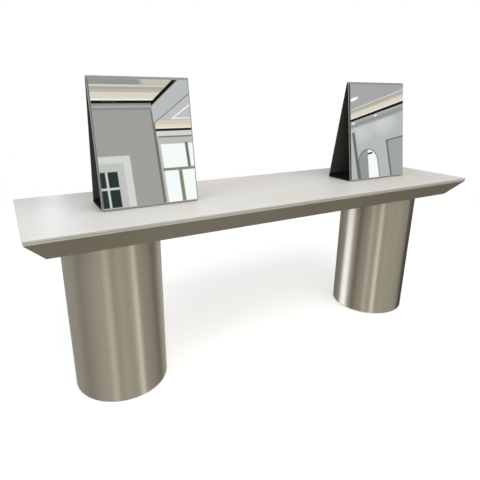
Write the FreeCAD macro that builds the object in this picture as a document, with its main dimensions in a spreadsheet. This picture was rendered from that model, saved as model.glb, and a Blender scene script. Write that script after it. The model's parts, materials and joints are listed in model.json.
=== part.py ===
import FreeCAD, Part
import math
import os

import Sketcher
from FreeCAD import Placement, Rotation, Vector

# Double sided salon station: a bevelled worktop on two drum pedestals, with two A-frame
# mirror stands on it that show a mirror to each side.
# Millimetres. The origin is on the floor under the worktop's centre, X runs along the
# worktop, the front is -Y and +Z is up.

SIZES = {
    # worktop
    "top_length": 2200,
    "top_width": 600,
    "top_height": 790,
    "worktop_depth": 95,
    "slab_thickness": 10,
    "slab_corner": 2.5,
    "slab_round": 3,
    "joint_chamfer": 1.2,
    "strip_setback": 1.5,
    "strip_lip": 7,
    "bevel_inset": 66,
    "strip_width": 16,
    "core_thickness": 18,
    "panel_thickness": 12,
    "bearer_thickness": 18,
    "bearer_setback": 1.5,
    "glue_gap": 0.3,
    "block_length": 300,
    "block_thickness": 36,
    # drum pedestals
    "leg_inset": 330,
    "drum_diameter": 400,
    "drum_sheet": 1.5,
    "drum_return": 14,
    "floor_gap": 4,
    "disc_thickness": 18,
    "disc_gap": 0.25,
    "base_ring_bore": 220,
    "post_side": 40,
    "post_reach": 135,
    "post_housing": 6,
    "post_gap": 0.2,
    # coach screws that hold a pedestal to its leg block
    "screw_reach": 120,
    "screw_diameter": 8,
    "screw_length": 65,
    "screw_hole": 9,
    "screw_head": 14.6,
    "screw_head_depth": 5.5,
    "pilot_fit": 0.05,
    "pilot_spare": 2,
    "washer_side": 25,
    "washer_thickness": 3,
    # levelling feet
    "foot_reach": 150,
    "foot_width": 36,
    "stud_diameter": 10,
    "stud_length": 45,
    "stud_hole": 11,
    "thread_fit": 0.05,
    "foot_nut": 19.6,
    "foot_nut_depth": 8,
    "nut_fit": 0.2,
    # mirror stands
    "left_mirror_inset": 489,
    "right_mirror_inset": 443,
    "mirror_width": 400,
    "stand_depth": 164,
    "lean_angle": 9,
    "stand_sheet": 2,
    "fold_radius": 3,
    "base_flange": 18,
    "base_inset": 2,
    "glass_margin": 6,
    "glass_thickness": 5,
    "glass_arris": 0.6,
    "tape_thickness": 1,
    "tape_width": 30,
    "tape_margin": 22,
    "pad_length": 360,
    "pad_width": 12,
    "pad_height": 2,
    "pad_margin": 8,
}

# Levels and reaches that several pieces share, as expressions on the sheet.
SLAB_UNDERSIDE = "(Sizes.top_height - Sizes.slab_thickness)"
WORKTOP_UNDERSIDE = "(Sizes.top_height - Sizes.worktop_depth)"
PANEL_TOP = f"({WORKTOP_UNDERSIDE} + Sizes.panel_thickness)"
CORE_UNDERSIDE = f"({SLAB_UNDERSIDE} - Sizes.core_thickness)"
BEVEL_HEIGHT = "(Sizes.worktop_depth - Sizes.slab_thickness - Sizes.strip_lip)"
BEVEL_SLOPE = f"((Sizes.bevel_inset - Sizes.strip_setback) / {BEVEL_HEIGHT})"
PANEL_INSET = "(Sizes.bevel_inset + Sizes.strip_width + Sizes.glue_gap)"
CORE_INSET = (
    "(Sizes.strip_setback + Sizes.strip_width + Sizes.glue_gap"
    f" + (Sizes.core_thickness - Sizes.strip_lip) * {BEVEL_SLOPE})"
)
BEARER_INSET = f"({PANEL_INSET} + Sizes.bearer_setback)"
BEARER_HEIGHT = f"({CORE_UNDERSIDE} - {PANEL_TOP})"
BAY_WIDTH = f"(Sizes.top_width - 2 * ({BEARER_INSET} + Sizes.bearer_thickness))"
LEG_REACH = "(Sizes.top_length / 2 - Sizes.leg_inset)"
DISC_RADIUS = "(Sizes.drum_diameter / 2 - Sizes.drum_sheet - Sizes.disc_gap)"
DISC_TOP = f"({WORKTOP_UNDERSIDE} - Sizes.drum_sheet)"
DISC_UNDERSIDE = f"({DISC_TOP} - Sizes.disc_thickness)"
RING_UNDERSIDE = "(Sizes.floor_gap + Sizes.drum_sheet)"
RING_TOP = f"({RING_UNDERSIDE} + Sizes.disc_thickness)"
POST_FOOT = f"({RING_TOP} - Sizes.post_housing)"
POST_TOP = f"({DISC_UNDERSIDE} + Sizes.post_housing)"
SCREW_SEAT = f"({DISC_UNDERSIDE} - Sizes.washer_thickness)"
SCREW_TIP = f"({SCREW_SEAT} + Sizes.screw_length)"
STAND_FOOT = "(Sizes.top_height + Sizes.pad_height)"
LEAF_WIDTH = "(Sizes.stand_sheet / cos(Sizes.lean_angle))"
FOLD_OUTSIDE = "(Sizes.fold_radius + Sizes.stand_sheet)"
FACE_LENGTH = (
    f"((Sizes.stand_depth / 2 - {FOLD_OUTSIDE} * cos(Sizes.lean_angle))"
    " / sin(Sizes.lean_angle))"
)
GLASS_LENGTH = f"({FACE_LENGTH} - 2 * Sizes.glass_margin)"

# Each pedestal stands on three feet, set evenly round it; the first is this way from its
# centre, in degrees from +X. Its screws are in line with the feet, its posts between them.
FIRST_FOOT = 90
THIRDS = 3

doc = FreeCAD.newDocument("SalonStation")
sub_parts = []


# ---- helpers -------------------------------------------------------------------------


def make_sheet():
    """Write the driving dimensions to the sheet, one aliased cell each."""
    sheet = doc.addObject("Spreadsheet::Sheet", "Sizes")
    for row, (alias, value) in enumerate(SIZES.items(), start=1):
        sheet.set(f"A{row}", alias)
        sheet.set(f"B{row}", str(value))
        sheet.setAlias(f"B{row}", alias)
    doc.recompute()


def origin_item(body, role):
    """One of a body's own origin planes or axes."""
    return next(item for item in body.Origin.OriginFeatures if item.Role == role)


def new_body(label):
    """A sub-part: its Label is the node's name."""
    body = doc.addObject("PartDesign::Body", "Body_" + label)
    body.AllowCompound = True
    body.Label = label
    sub_parts.append(body)
    return body


def place(body, x="0", y="0", z="0"):
    """Bind a body's place to the sheet."""
    for axis, expression in zip("xyz", (x, y, z)):
        body.setExpression(f"Placement.Base.{axis}", expression)


def set_sizes(feature, **sizes):
    """Bind a feature's properties to the sheet."""
    for name, expression in sizes.items():
        feature.setExpression(name, expression)


def new_sketch(body, name, role):
    sketch = body.newObject("Sketcher::SketchObject", name)
    sketch.AttachmentSupport = [(origin_item(body, role), "")]
    sketch.MapMode = "FlatFace"
    return sketch


def add_outline(sketch, points):
    """A closed outline whose corners are expressions on the sheet."""
    first = sketch.GeometryCount
    count = len(points)
    turn = 2 * math.pi / count
    rough = [Vector(math.cos(i * turn), math.sin(i * turn), 0) for i in range(count)]
    for i in range(count):
        sketch.addGeometry(Part.LineSegment(rough[i], rough[(i + 1) % count]), False)
    for i in range(count):
        after = first + (i + 1) % count
        sketch.addConstraint(Sketcher.Constraint("Coincident", first + i, 2, after, 1))
    for i, corner in enumerate(points):
        for kind, start, expression in zip(("DistanceX", "DistanceY"), rough[i], corner):
            size = Sketcher.Constraint(kind, -1, 1, first + i, 1, start)
            sketch.setExpression(f"Constraints[{sketch.addConstraint(size)}]", expression)


def add_circle(sketch, radius, x="0", y="0"):
    """A circle whose centre and radius are expressions on the sheet."""
    circle = sketch.addGeometry(Part.Circle(Vector(1, 1, 0), Vector(0, 0, 1), 1), False)
    sizes = (
        (Sketcher.Constraint("DistanceX", -1, 1, circle, 3, 1), x),
        (Sketcher.Constraint("DistanceY", -1, 1, circle, 3, 1), y),
        (Sketcher.Constraint("Radius", circle, 1), radius),
    )
    for size, expression in sizes:
        sketch.setExpression(f"Constraints[{sketch.addConstraint(size)}]", expression)


def pad(body, sketch, length, both_ways=False, backwards=False):
    feature = body.newObject("PartDesign::Pad", "Pad")
    feature.Profile = sketch
    feature.Midplane = both_ways
    feature.Reversed = backwards
    set_sizes(feature, Length=length)
    return feature


def pocket(body, sketch, length, backwards=False):
    feature = body.newObject("PartDesign::Pocket", "Pocket")
    feature.Profile = sketch
    feature.Reversed = backwards
    set_sizes(feature, Length=length)
    return feature


def revolve(body, points):
    """Turn an outline of (radius, height) corners about the body's upright axis."""
    sketch = new_sketch(body, "Section", "XZ_Plane")
    add_outline(sketch, points)
    feature = body.newObject("PartDesign::Revolution", "Turning")
    feature.Profile = sketch
    feature.ReferenceAxis = (sketch, ["V_Axis"])
    feature.Angle = 360
    return feature


def primitive(body, kind, x="0", y="0", z="0", **sizes):
    """A box, cylinder or prism, with its place and sizes bound to the sheet."""
    feature = body.newObject("PartDesign::" + kind, kind)
    set_sizes(feature, **sizes)
    offset = {"Placement.Base.x": x, "Placement.Base.y": y, "Placement.Base.z": z}
    set_sizes(feature, **offset)
    return feature


def hexagon(body, kind, width, height, y="0", z="0"):
    """A hexagonal head, nut or recess, sized across its corners."""
    feature = primitive(body, kind, "0", y, z, Circumradius=f"{width} / 2", Height=height)
    feature.Polygon = 6
    return feature


def board(body, length, width, thickness, z):
    """A level rectangular board centred on the body's axis."""
    return primitive(
        body,
        "AdditiveBox",
        f"-({length}) / 2",
        f"-({width}) / 2",
        z,
        Length=length,
        Width=width,
        Height=thickness,
    )


def around(body, originals):
    """Repeat features in thirds about the body's upright axis."""
    doc.recompute()
    feature = body.newObject("PartDesign::PolarPattern", "Around")
    feature.Originals = originals
    feature.Axis = (origin_item(body, "Z_Axis"), [""])
    feature.Angle = 360
    feature.Occurrences = THIRDS
    body.Tip = feature
    return feature


def row(body, originals, role, length, count):
    """Repeat features evenly along one of the body's axes."""
    doc.recompute()
    feature = body.newObject("PartDesign::LinearPattern", "Along")
    feature.Originals = originals
    feature.Direction = (origin_item(body, role), [""])
    set_sizes(feature, Length=length, Occurrences=count)
    body.Tip = feature
    return feature


def mirror(body, originals, role):
    """Mirror features about one of the body's planes."""
    doc.recompute()
    feature = body.newObject("PartDesign::Mirrored", "Mirror")
    feature.Originals = originals
    feature.MirrorPlane = (origin_item(body, role), [""])
    body.Tip = feature
    return feature


def edges_where(body, wanted):
    """Names of the edges of a body's last feature that pass a test."""
    doc.recompute()
    edges = enumerate(body.Tip.Shape.Edges, start=1)
    return [f"Edge{number}" for number, edge in edges if wanted(edge)]


def dress(body, kind, wanted, **sizes):
    """Round or chamfer the edges that pass a test."""
    names = edges_where(body, wanted)
    base = body.Tip
    feature = body.newObject("PartDesign::" + kind, kind)
    feature.Base = (base, names)
    set_sizes(feature, **sizes)
    body.Tip = feature
    return feature


def is_upright(edge):
    box = edge.BoundBox
    return box.ZLength > max(box.XLength, box.YLength)


def lies_at_level(level):
    """A test for edges that lie flat at one level."""
    near = 1e-4
    return lambda edge: abs(edge.BoundBox.ZMin - level) + abs(edge.BoundBox.ZMax - level) < near


def spots(reach, leg):
    """The three places round a pedestal, in the worktop's frame.

    The left pedestal is -, and the right one, which is +, is the left one turned half round.
    """
    turn = "+" if leg == "-" else "-"
    angles = [FIRST_FOOT + 360 * third // THIRDS for third in range(THIRDS)]
    return [
        (
            f"{leg}{LEG_REACH} {turn} {reach} * cos({angle})",
            f"{turn}{reach} * sin({angle})",
        )
        for angle in angles
    ]


def bore_thirds(body, reach, radius, base, deep):
    """Three round holes at a reach from the pedestal's axis."""
    sizes = {"Radius": radius, "Height": deep}
    around(body, [primitive(body, "SubtractiveCylinder", "0", reach, base, **sizes)])


def post_thirds(body, kind, low, high, gap="0"):
    """Three boxes at the posts' places, from low to high, with a gap round each."""
    side = f"(Sizes.post_side + 2 * {gap})"
    start = f"-Sizes.post_reach - {side} / 2"
    sizes = {"Length": side, "Width": side, "Height": f"{high} - {low}"}
    around(body, [primitive(body, kind, f"-{side} / 2", start, low, **sizes)])


# ---- worktop -------------------------------------------------------------------------


def make_slab():
    """The stone slab: rounded upper arris, and half of the V joint on its lower arris."""
    body = new_body("worktop_slab")
    board(body, "Sizes.top_length", "Sizes.top_width", "Sizes.slab_thickness", SLAB_UNDERSIDE)
    dress(body, "Fillet", is_upright, Radius="Sizes.slab_corner")
    upper = lies_at_level(SIZES["top_height"])
    dress(body, "Fillet", upper, Radius="Sizes.slab_round")
    lower = lies_at_level(SIZES["top_height"] - SIZES["slab_thickness"])
    dress(body, "Chamfer", lower, Size="Sizes.joint_chamfer")


def make_edge_strip(label, turn, run, reach):
    """A stone edge strip: a lip, the long bevel under it and mitred ends.

    The strip runs along its own X with its outer face at -Y, reach away from the centre,
    and the whole strip is turned about Z to its side of the worktop.
    """
    body = new_body(label)
    body.Placement = Placement(Vector(), Rotation(Vector(0, 0, 1), turn))
    lip = "Sizes.strip_setback"
    chamfer = "Sizes.joint_chamfer"
    bevel_top = f"{SLAB_UNDERSIDE} - Sizes.strip_lip"
    section = [
        (f"{lip} + {chamfer}", SLAB_UNDERSIDE),
        (lip, f"{SLAB_UNDERSIDE} - {chamfer}"),
        (lip, bevel_top),
        ("Sizes.bevel_inset", WORKTOP_UNDERSIDE),
        ("Sizes.bevel_inset + Sizes.strip_width", WORKTOP_UNDERSIDE),
        (f"{lip} + Sizes.strip_width", bevel_top),
        (f"{lip} + Sizes.strip_width", SLAB_UNDERSIDE),
    ]
    sketch = new_sketch(body, "Section", "YZ_Plane")
    add_outline(sketch, [(f"{inset} - {reach}", level) for inset, level in section])
    pad(body, sketch, run, both_ways=True)

    mitre = new_sketch(body, "Mitres", "XY_Plane")
    cut = "(Sizes.bevel_inset + 2 * Sizes.strip_width)"
    for side in ("", "-"):
        corners = [
            (f"{run} / 2", f"-{reach}"),
            (f"{run} / 2 - {cut}", f"{cut} - {reach}"),
            (f"{run} / 2 + {cut}", f"{cut} - {reach}"),
            (f"{run} / 2 + {cut}", f"-{reach}"),
        ]
        add_outline(mitre, [(f"{side}({x})", y) for x, y in corners])
    pocket(body, mitre, "Sizes.top_height", backwards=True)


def make_core_board():
    body = new_body("core_board")
    length = f"(Sizes.top_length - 2 * {CORE_INSET})"
    width = f"(Sizes.top_width - 2 * {CORE_INSET})"
    board(body, length, width, "Sizes.core_thickness", CORE_UNDERSIDE)


def make_bottom_panel():
    """The panel that closes the underside, drilled for the pedestals' screws."""
    body = new_body("bottom_panel")
    length = f"(Sizes.top_length - 2 * {PANEL_INSET})"
    width = f"(Sizes.top_width - 2 * {PANEL_INSET})"
    board(body, length, width, "Sizes.panel_thickness", WORKTOP_UNDERSIDE)
    holes = new_sketch(body, "ScrewHoles", "XY_Plane")
    set_sizes(holes, **{"AttachmentOffset.Base.z": WORKTOP_UNDERSIDE})
    for leg in ("-", "+"):
        for x, y in spots("Sizes.screw_reach", leg):
            add_circle(holes, "Sizes.screw_hole / 2", x, y)
    pocket(body, holes, "Sizes.panel_thickness", backwards=True)


def make_long_bearer(label, side):
    """A bearer on edge along the front or rear."""
    body = new_body(label)
    length = f"(Sizes.top_length - 2 * {BEARER_INSET})"
    board(body, length, "Sizes.bearer_thickness", BEARER_HEIGHT, PANEL_TOP)
    reach = f"(Sizes.top_width / 2 - {BEARER_INSET} - Sizes.bearer_thickness / 2)"
    place(body, y=f"{side}{reach}")


def make_end_bearer(label, side):
    body = new_body(label)
    board(body, "Sizes.bearer_thickness", BAY_WIDTH, BEARER_HEIGHT, PANEL_TOP)
    reach = f"(Sizes.top_length / 2 - {BEARER_INSET} - Sizes.bearer_thickness / 2)"
    place(body, x=f"{side}{reach}")


def make_cross_bearers():
    """Three bearers across the bay: at the middle and beside each leg block."""
    body = new_body("cross_bearers")
    size = {"Length": "Sizes.bearer_thickness", "Width": BAY_WIDTH, "Height": BEARER_HEIGHT}
    step = f"(2 * {LEG_REACH} - Sizes.block_length - Sizes.bearer_thickness)"
    start = f"-({step} + Sizes.bearer_thickness) / 2"
    first = primitive(body, "AdditiveBox", start, f"-{BAY_WIDTH} / 2", PANEL_TOP, **size)
    row(body, [first], "X_Axis", step, "3")


def make_leg_block(label):
    """The block over a pedestal that its coach screws bite into."""
    body = new_body(label)
    board(body, "Sizes.block_length", BAY_WIDTH, "Sizes.block_thickness", PANEL_TOP)
    radius = "Sizes.screw_diameter / 2 + Sizes.pilot_fit"
    deep = f"{SCREW_TIP} + Sizes.pilot_spare - {PANEL_TOP}"
    bore_thirds(body, "Sizes.screw_reach", radius, PANEL_TOP, deep)
    return body


# ---- pedestals -----------------------------------------------------------------------


def make_drum_shell(label):
    """Rolled sheet with a lip turned in at each end to hold the discs."""
    body = new_body(label)
    outer = "Sizes.drum_diameter / 2"
    inner = f"{outer} - Sizes.drum_sheet"
    lip = f"{outer} - Sizes.drum_return"
    section = [
        (lip, "Sizes.floor_gap"),
        (outer, "Sizes.floor_gap"),
        (outer, WORKTOP_UNDERSIDE),
        (lip, WORKTOP_UNDERSIDE),
        (lip, DISC_TOP),
        (inner, DISC_TOP),
        (inner, RING_UNDERSIDE),
        (lip, RING_UNDERSIDE),
    ]
    revolve(body, section)
    return body


def make_top_disc(label):
    """The disc that closes the drum, drilled for the screws and housed for the posts."""
    body = new_body(label)
    sizes = {"Radius": DISC_RADIUS, "Height": "Sizes.disc_thickness"}
    primitive(body, "AdditiveCylinder", z=DISC_UNDERSIDE, **sizes)
    radius = "Sizes.screw_hole / 2"
    bore_thirds(body, "Sizes.screw_reach", radius, DISC_UNDERSIDE, "Sizes.disc_thickness")
    post_thirds(body, "SubtractiveBox", DISC_UNDERSIDE, POST_TOP, "Sizes.post_gap")
    return body


def make_base_ring(label):
    """The ring that the feet screw into, open in the middle for a hand with a spanner."""
    body = new_body(label)
    deep = "Sizes.disc_thickness"
    primitive(body, "AdditiveCylinder", z=RING_UNDERSIDE, Radius=DISC_RADIUS, Height=deep)
    bore = "Sizes.base_ring_bore / 2"
    primitive(body, "SubtractiveCylinder", z=RING_UNDERSIDE, Radius=bore, Height=deep)
    bore_thirds(body, "Sizes.foot_reach", "Sizes.stud_hole / 2", RING_UNDERSIDE, deep)
    recess = "(Sizes.foot_nut + Sizes.nut_fit)"
    sizes = (recess, "Sizes.foot_nut_depth", "Sizes.foot_reach", RING_UNDERSIDE)
    around(body, [hexagon(body, "SubtractivePrism", *sizes)])
    post_thirds(body, "SubtractiveBox", POST_FOOT, RING_TOP, "Sizes.post_gap")
    return body


def make_posts(label):
    """Timber posts, their ends let into the base ring and the top disc."""
    body = new_body(label)
    post_thirds(body, "AdditiveBox", POST_FOOT, POST_TOP)
    return body


def make_leg_screws(label):
    """The coach screws that go up from inside the drum into the leg block."""
    body = new_body(label)
    reach = "Sizes.screw_reach"
    sizes = {"Radius": "Sizes.screw_diameter / 2", "Height": "Sizes.screw_length"}
    shank = primitive(body, "AdditiveCylinder", "0", reach, SCREW_SEAT, **sizes)
    deep = "Sizes.screw_head_depth"
    start = f"{SCREW_SEAT} - {deep}"
    head = hexagon(body, "AdditivePrism", "Sizes.screw_head", deep, reach, start)
    around(body, [shank, head])
    return body


def make_washers(label):
    """Square plate washers under the coach screws' heads."""
    body = new_body(label)
    side = "Sizes.washer_side"
    deep = "Sizes.washer_thickness"
    start = f"Sizes.screw_reach - {side} / 2"
    sizes = {"Length": side, "Width": side, "Height": deep}
    plate = primitive(body, "AdditiveBox", f"-{side} / 2", start, SCREW_SEAT, **sizes)
    sizes = {"Radius": "Sizes.screw_hole / 2", "Height": deep}
    reach = "Sizes.screw_reach"
    hole = primitive(body, "SubtractiveCylinder", "0", reach, SCREW_SEAT, **sizes)
    around(body, [plate, hole])
    return body


def make_foot_nuts(label):
    """Hexagon nuts let into the base ring's underside, which the feet push up against it."""
    body = new_body(label)
    reach = "Sizes.foot_reach"
    deep = "Sizes.foot_nut_depth"
    nut = hexagon(body, "AdditivePrism", "Sizes.foot_nut", deep, reach, RING_UNDERSIDE)
    sizes = {"Radius": "Sizes.stud_diameter / 2 + Sizes.thread_fit", "Height": deep}
    hole = primitive(body, "SubtractiveCylinder", "0", reach, RING_UNDERSIDE, **sizes)
    around(body, [nut, hole])
    return body


def make_foot(label, x, y):
    """A levelling foot: a stud on a hexagon base that a thin spanner turns under the rim."""
    body = new_body(label)
    hexagon(body, "AdditivePrism", "Sizes.foot_width", RING_UNDERSIDE)
    sizes = {"Radius": "Sizes.stud_diameter / 2", "Height": "Sizes.stud_length"}
    primitive(body, "AdditiveCylinder", z=RING_UNDERSIDE, **sizes)
    place(body, x, y)


def make_leg(name, leg, feet):
    """One pedestal with its leg block, placed at its end of the worktop."""
    pieces = [
        make_leg_block(f"{name}_leg_block"),
        make_drum_shell(f"{name}_drum_shell"),
        make_top_disc(f"{name}_top_disc"),
        make_base_ring(f"{name}_base_ring"),
        make_posts(f"{name}_posts"),
        make_leg_screws(f"{name}_leg_screws"),
        make_washers(f"{name}_washers"),
        make_foot_nuts(f"{name}_foot_nuts"),
    ]
    half_round = 0 if leg == "-" else 180
    for piece in pieces:
        piece.Placement = Placement(Vector(), Rotation(Vector(0, 0, 1), half_round))
        place(piece, x=f"{leg}{LEG_REACH}")
    for foot, (x, y) in zip(feet, spots("Sizes.foot_reach", leg)):
        make_foot(f"{name}_{foot}_foot", x, y)


# ---- mirror stands -------------------------------------------------------------------


def make_stand(label, unit_x):
    """Sheet folded over at the top into two leaning leaves."""
    body = new_body(label)
    foot = "(Sizes.stand_depth / 2)"
    slope = "tan(Sizes.lean_angle)"
    section = [
        (f"-{foot}", "0"),
        ("0", f"{foot} / {slope}"),
        (foot, "0"),
        (f"{foot} - {LEAF_WIDTH}", "0"),
        ("0", f"({foot} - {LEAF_WIDTH}) / {slope}"),
        (f"{LEAF_WIDTH} - {foot}", "0"),
    ]
    sketch = new_sketch(body, "Section", "YZ_Plane")
    add_outline(sketch, section)
    pad(body, sketch, "Sizes.mirror_width", both_ways=True)

    doc.recompute()
    apex = body.Tip.Shape.BoundBox.ZMax
    slack = 1e-4
    dress(body, "Fillet", lambda edge: edge.BoundBox.ZMin > apex - slack, Radius=FOLD_OUTSIDE)
    inner = (SIZES["stand_depth"] / 2) / math.tan(math.radians(SIZES["lean_angle"]))
    inner -= SIZES["stand_sheet"] / math.sin(math.radians(SIZES["lean_angle"]))
    along = lies_at_level(inner)
    dress(body, "Fillet", along, Radius="Sizes.fold_radius")
    place(body, unit_x, z=STAND_FOOT)


def make_stand_base(label, unit_x):
    """The tray between the leaves, its two sides turned up to lie against them."""
    body = new_body(label)
    reach = f"(Sizes.stand_depth / 2 - {LEAF_WIDTH})"
    slope = "tan(Sizes.lean_angle)"
    rise = "Sizes.base_flange"
    thin = "Sizes.stand_sheet"
    half = [
        (reach, "0"),
        (f"{reach} - {rise} * {slope}", rise),
        (f"{reach} - {rise} * {slope} - {LEAF_WIDTH}", rise),
        (f"{reach} - {thin} * {slope} - {LEAF_WIDTH}", thin),
    ]
    other = [(f"-({y})", z) for y, z in reversed(half)]
    sketch = new_sketch(body, "Section", "YZ_Plane")
    add_outline(sketch, half + other)
    pad(body, sketch, "Sizes.mirror_width - 2 * Sizes.base_inset", both_ways=True)
    dress(body, "Fillet", runs_along_x_at(0), Radius=FOLD_OUTSIDE)
    dress(body, "Fillet", runs_along_x_at(SIZES["stand_sheet"]), Radius="Sizes.fold_radius")
    place(body, unit_x, z=STAND_FOOT)


def runs_along_x_at(level):
    """A test for edges that run along X at one level."""
    is_level = lies_at_level(level)
    return lambda edge: is_level(edge) and edge.BoundBox.XLength > edge.BoundBox.YLength


def lean(body, unit_x, side):
    """Stand a piece on one leaf's outer face: its X-Z plane lies in the face."""
    angle = f"{side}Sizes.lean_angle"
    body.Placement = Placement(Vector(), Rotation(Vector(1, 0, 0), 1))
    set_sizes(body, **{"Placement.Rotation.Angle": angle})
    place(body, unit_x, f"{side}Sizes.stand_depth / 2", STAND_FOOT)


def lay_on_face(body, outlines, start, thickness, front):
    """Pad outlines drawn on the leaf's face outwards, from start above the face."""
    sketch = new_sketch(body, "Face", "XZ_Plane")
    for points in outlines:
        add_outline(sketch, points)
    sign = "" if front else "-"
    set_sizes(sketch, **{"AttachmentOffset.Base.z": f"{sign}{start}"})
    pad(body, sketch, thickness, backwards=not front)


def rectangle(low_x, high_x, low_z, high_z):
    return [(low_x, low_z), (high_x, low_z), (high_x, high_z), (low_x, high_z)]


def make_glass(label, unit_x, front):
    """A mirror pane with its front arris ground off."""
    body = new_body(label)
    edge = "(Sizes.mirror_width / 2 - Sizes.glass_margin)"
    low = "Sizes.glass_margin"
    outline = rectangle(f"-{edge}", edge, low, f"{low} + {GLASS_LENGTH}")
    lay_on_face(body, [outline], "Sizes.tape_thickness", "Sizes.glass_thickness", front)
    side = -1 if front else 1
    face = side * (SIZES["tape_thickness"] + SIZES["glass_thickness"])
    dress(body, "Chamfer", lies_at_depth(face), Size="Sizes.glass_arris")
    lean(body, unit_x, "-" if front else "")


def lies_at_depth(depth):
    """A test for edges that lie in one upright plane across Y."""
    near = 1e-4
    return lambda edge: abs(edge.BoundBox.YMin - depth) + abs(edge.BoundBox.YMax - depth) < near


def make_tape(label, unit_x, front):
    """Three upright strips of mirror tape between a leaf and its pane."""
    body = new_body(label)
    low = "Sizes.glass_margin + Sizes.tape_margin"
    high = f"Sizes.glass_margin + {GLASS_LENGTH} - Sizes.tape_margin"
    reach = "(Sizes.mirror_width / 2 - Sizes.glass_margin - Sizes.tape_margin)"
    width = "Sizes.tape_width"
    spans = [
        (f"-{reach}", f"{width} - {reach}"),
        (f"-{width} / 2", f"{width} / 2"),
        (f"{reach} - {width}", reach),
    ]
    outlines = [rectangle(left, right, low, high) for left, right in spans]
    lay_on_face(body, outlines, "0", "Sizes.tape_thickness", front)
    lean(body, unit_x, "-" if front else "")


def make_stand_pads(label, unit_x):
    """Rubber strips under the tray's two long sides."""
    body = new_body(label)
    length = "Sizes.pad_length"
    across = f"Sizes.stand_depth / 2 - {LEAF_WIDTH} - Sizes.pad_margin - Sizes.pad_width"
    sizes = {"Length": length, "Width": "Sizes.pad_width", "Height": "Sizes.pad_height"}
    strip = primitive(body, "AdditiveBox", f"-{length} / 2", across, **sizes)
    mirror(body, [strip], "XZ_Plane")
    place(body, unit_x, z="Sizes.top_height")


def make_mirror_unit(name, end):
    """One free-standing A-frame with a mirror on each leaf."""
    unit_x = f"{end}(Sizes.top_length / 2 - Sizes.{name}_inset)"
    make_stand(f"{name}_stand", unit_x)
    make_stand_base(f"{name}_base", unit_x)
    for face, front in (("front", True), ("rear", False)):
        make_glass(f"{name}_{face}_glass", unit_x, front)
        make_tape(f"{name}_{face}_tape", unit_x, front)
    make_stand_pads(f"{name}_pads", unit_x)


# ---- build, check and write ----------------------------------------------------------


def build():
    make_sheet()
    make_slab()
    across = "Sizes.top_length / 2"
    along = "Sizes.top_width / 2"
    make_edge_strip("front_edge_strip", 0, "Sizes.top_length", along)
    make_edge_strip("right_edge_strip", 90, "Sizes.top_width", across)
    make_edge_strip("rear_edge_strip", 180, "Sizes.top_length", along)
    make_edge_strip("left_edge_strip", -90, "Sizes.top_width", across)
    make_core_board()
    make_bottom_panel()
    make_long_bearer("front_bearer", "-")
    make_long_bearer("rear_bearer", "")
    make_end_bearer("left_end_bearer", "-")
    make_end_bearer("right_end_bearer", "")
    make_cross_bearers()
    make_leg("left", "-", ("rear", "outer", "inner"))
    make_leg("right", "+", ("front", "outer", "inner"))
    make_mirror_unit("left_mirror", "-")
    make_mirror_unit("right_mirror", "+")
    doc.recompute()


def check():
    """Stop if any object failed, or any sub-part is missing or broken."""
    for item in doc.Objects:
        if "Invalid" in item.State or "Error" in item.State:
            raise RuntimeError(f"{item.Label} ({item.Name}) failed: {item.State}")
    for body in sub_parts:
        if body.Shape.isNull() or not body.Shape.isValid() or not body.Shape.Solids:
            raise RuntimeError(f"{body.Label} is not a valid solid")


def write():
    os.makedirs("parts", exist_ok=True)
    for body in sub_parts:
        body.Shape.exportStep(f"parts/{body.Label}.step")
    print(f"{len(sub_parts)} nodes written")


build()
check()
write()
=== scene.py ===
import json
import math

import bmesh
import bpy
from mathutils import Euler, Matrix, Vector


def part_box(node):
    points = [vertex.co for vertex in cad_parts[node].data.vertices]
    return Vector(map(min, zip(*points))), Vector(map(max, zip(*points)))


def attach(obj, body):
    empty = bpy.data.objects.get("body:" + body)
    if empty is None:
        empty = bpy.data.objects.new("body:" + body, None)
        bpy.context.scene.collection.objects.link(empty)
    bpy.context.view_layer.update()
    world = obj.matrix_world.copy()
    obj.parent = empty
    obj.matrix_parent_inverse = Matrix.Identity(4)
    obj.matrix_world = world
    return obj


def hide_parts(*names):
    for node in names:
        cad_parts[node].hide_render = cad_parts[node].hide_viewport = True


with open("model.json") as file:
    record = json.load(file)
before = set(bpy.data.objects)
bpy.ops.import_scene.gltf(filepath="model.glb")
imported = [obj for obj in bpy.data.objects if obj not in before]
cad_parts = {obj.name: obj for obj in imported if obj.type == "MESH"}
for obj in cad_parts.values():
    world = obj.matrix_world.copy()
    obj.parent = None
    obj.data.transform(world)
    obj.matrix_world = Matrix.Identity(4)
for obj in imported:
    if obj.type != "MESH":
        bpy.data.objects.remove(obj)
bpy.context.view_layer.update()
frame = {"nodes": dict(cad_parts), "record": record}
nodes = frame["nodes"]

MM = 0.001

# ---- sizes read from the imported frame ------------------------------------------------

SLAB_LOW, SLAB_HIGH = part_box("worktop_slab")
LEGS = ("left", "right")
UNITS = ("left_mirror", "right_mirror")
SIDES = {"front": (0, -1, 0), "right": (1, 0, 0), "rear": (0, 1, 0), "left": (-1, 0, 0)}

# ---- sizes of the finished pieces ----------------------------------------------------

SLAB_CORNER = 2.5 * MM
SLAB_ROUND = 3.0 * MM
JOINT_CHAMFER = 1.2 * MM
STRIP_ROUND = 1.5 * MM
DRUM_SHEET = 1.5 * MM
DRUM_LIP = 14.0 * MM
DRUM_BEND = 2.2 * MM
STAND_LEAN = math.radians(9)
STAND_SHEET = 2.0 * MM
STAND_BEND = 5.0 * MM
GLASS_THICKNESS = 5.0 * MM
GLASS_ARRIS = 0.9 * MM
TAPE_THICKNESS = 1.0 * MM
# How far a pane starts above its leaf's foot.
GLASS_FOOT = 6.0 * MM
# The share of a leaf next to the bend that is a face of its own, so that the rest stays flat.
STAND_EASE = 0.03

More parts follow.
